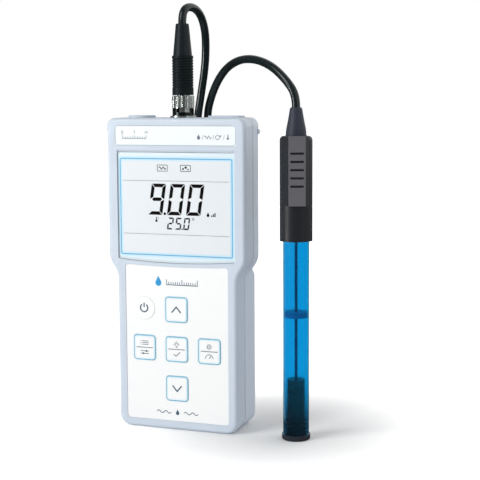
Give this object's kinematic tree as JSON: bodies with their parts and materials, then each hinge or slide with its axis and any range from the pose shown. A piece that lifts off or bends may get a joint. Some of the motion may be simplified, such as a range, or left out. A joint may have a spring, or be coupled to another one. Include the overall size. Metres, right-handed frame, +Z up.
{
  "type": "ph and ion meter with electrode",
  "caption": "Handheld pH and ion meter with backlit display, membrane keypad, flip-out stand and battery door, joined by a bayonet plug and a coiled lead to a blue tube electrode.",
  "frame": {"origin": "middle of the meter's base, on the surface that the meter and the electrode stand on", "axes": "+X across the width towards the electrode, -Y out of the display and keypad, +Z up"},
  "size_m": [0.1458, 0.1259, 0.2665],
  "materials": {
    "case_front": "fine matte",
    "case_rear": "fine matte",
    "case_seal": "matte",
    "strip_white": "satin",
    "window": "clear",
    "lcd": "gloss",
    "backlight": "satin",
    "board": "satin",
    "chip_black": "matte",
    "can_tin": "satin",
    "label_white": "satin",
    "overlay_white": "satin",
    "key_white": "satin",
    "dome_rubber": "matte",
    "cell_wrap": "satin",
    "spring_steel": "satin",
    "door_plastic": "fine matte",
    "screw_steel": "satin",
    "stand_plastic": "fine matte",
    "nickel": "satin",
    "ring_nickel": "knurled satin",
    "insulator_white": "matte",
    "contact_gold": "polished",
    "socket_black": "matte",
    "cap_rubber": "matte",
    "grip_black": "satin",
    "boot_rubber": "satin",
    "cord_black": "satin",
    "cap_grey": "semi gloss",
    "tube_blue": "clear",
    "stem_navy": "gloss",
    "module_black": "gloss",
    "membrane_grey": "polished"
  },
  "bodies": {
    "meter": {"front_shell": "case_front", "rear_shell": "case_rear", "case_gasket": "case_seal", "head_strip": "strip_white", "display_window": "window", "lcd_panel": "lcd", "backlight": "backlight", "main_board": "board", "board_chips": "chip_black", "board_cans": "can_tin", "keypad_overlay": "overlay_white", "dome_mat": "dome_rubber", "battery_cells": "cell_wrap", "battery_contacts": "spring_steel", "case_screws": "screw_steel", "stand_pin": "screw_steel", "bnc_jack": "nickel", "jack_nut": "nickel", "jack_insulator": "insulator_white", "jack_contact": "contact_gold", "temp_socket": "socket_black", "port_socket": "socket_black"},
    "key_power": {"key_power": "key_white"},
    "key_up": {"key_up": "key_white"},
    "key_mode": {"key_mode": "key_white"},
    "key_enter": {"key_enter": "key_white"},
    "key_cal": {"key_cal": "key_white"},
    "key_down": {"key_down": "key_white"},
    "stand": {"stand": "stand_plastic"},
    "battery_door": {"battery_door": "door_plastic", "door_gasket": "case_seal", "door_screws": "screw_steel", "rating_label": "label_white"},
    "temp_cap": {"temp_cap": "cap_rubber"},
    "port_cover": {"port_cover": "cap_rubber"},
    "lead": {"plug_body": "nickel", "plug_pin": "contact_gold", "plug_insulator": "insulator_white", "plug_grip": "grip_black", "plug_boot": "boot_rubber", "cord_from_plug": "cord_black", "cord_coil": "cord_black", "cord_to_probe": "cord_black", "probe_boot": "boot_rubber", "probe_cap": "cap_grey", "probe_tube": "tube_blue", "inner_stem": "stem_navy", "spacer_ring": "stem_navy", "sensor_module": "module_black", "end_flange": "module_black", "membrane": "membrane_grey"},
    "coupling_ring": {"coupling_ring": "ring_nickel"}
  },
  "joints": [
    {"name": "key_power_press", "type": "slide", "parent": "meter", "child": "key_power", "axis": [0, 1, 0], "range_m": [0, 0.0004], "stiffness_N_per_m": 5000},
    {"name": "key_up_press", "type": "slide", "parent": "meter", "child": "key_up", "axis": [0, 1, 0], "range_m": [0, 0.0004], "stiffness_N_per_m": 5000},
    {"name": "key_mode_press", "type": "slide", "parent": "meter", "child": "key_mode", "axis": [0, 1, 0], "range_m": [0, 0.0004], "stiffness_N_per_m": 5000},
    {"name": "key_enter_press", "type": "slide", "parent": "meter", "child": "key_enter", "axis": [0, 1, 0], "range_m": [0, 0.0004], "stiffness_N_per_m": 5000},
    {"name": "key_cal_press", "type": "slide", "parent": "meter", "child": "key_cal", "axis": [0, 1, 0], "range_m": [0, 0.0004], "stiffness_N_per_m": 5000},
    {"name": "key_down_press", "type": "slide", "parent": "meter", "child": "key_down", "axis": [0, 1, 0], "range_m": [0, 0.0004], "stiffness_N_per_m": 5000},
    {"name": "stand_swing", "type": "hinge", "parent": "meter", "child": "stand", "pos_m": [0, 0.006, 0.187], "axis": [1, 0, 0], "range_deg": [0, 35]},
    {"name": "battery_door_lift", "type": "slide", "parent": "meter", "child": "battery_door", "axis": [0, 1, 0], "range_m": [0, 0.014]},
    {"name": "temp_cap_pull", "type": "slide", "parent": "meter", "child": "temp_cap", "axis": [0, 0, 1], "range_m": [0, 0.008]},
    {"name": "port_cover_pull", "type": "slide", "parent": "meter", "child": "port_cover", "axis": [0, 0, 1], "range_m": [0, 0.008]},
    {"name": "plug_pull", "type": "slide", "parent": "meter", "child": "lead", "axis": [0, 0, 1], "range_m": [0, 0.012]},
    {"name": "ring_turn", "type": "hinge", "parent": "lead", "child": "coupling_ring", "pos_m": [0.0005, -0.0043, 0.2], "axis": [0, 0, 1], "range_deg": [0, 90]}
  ]
}
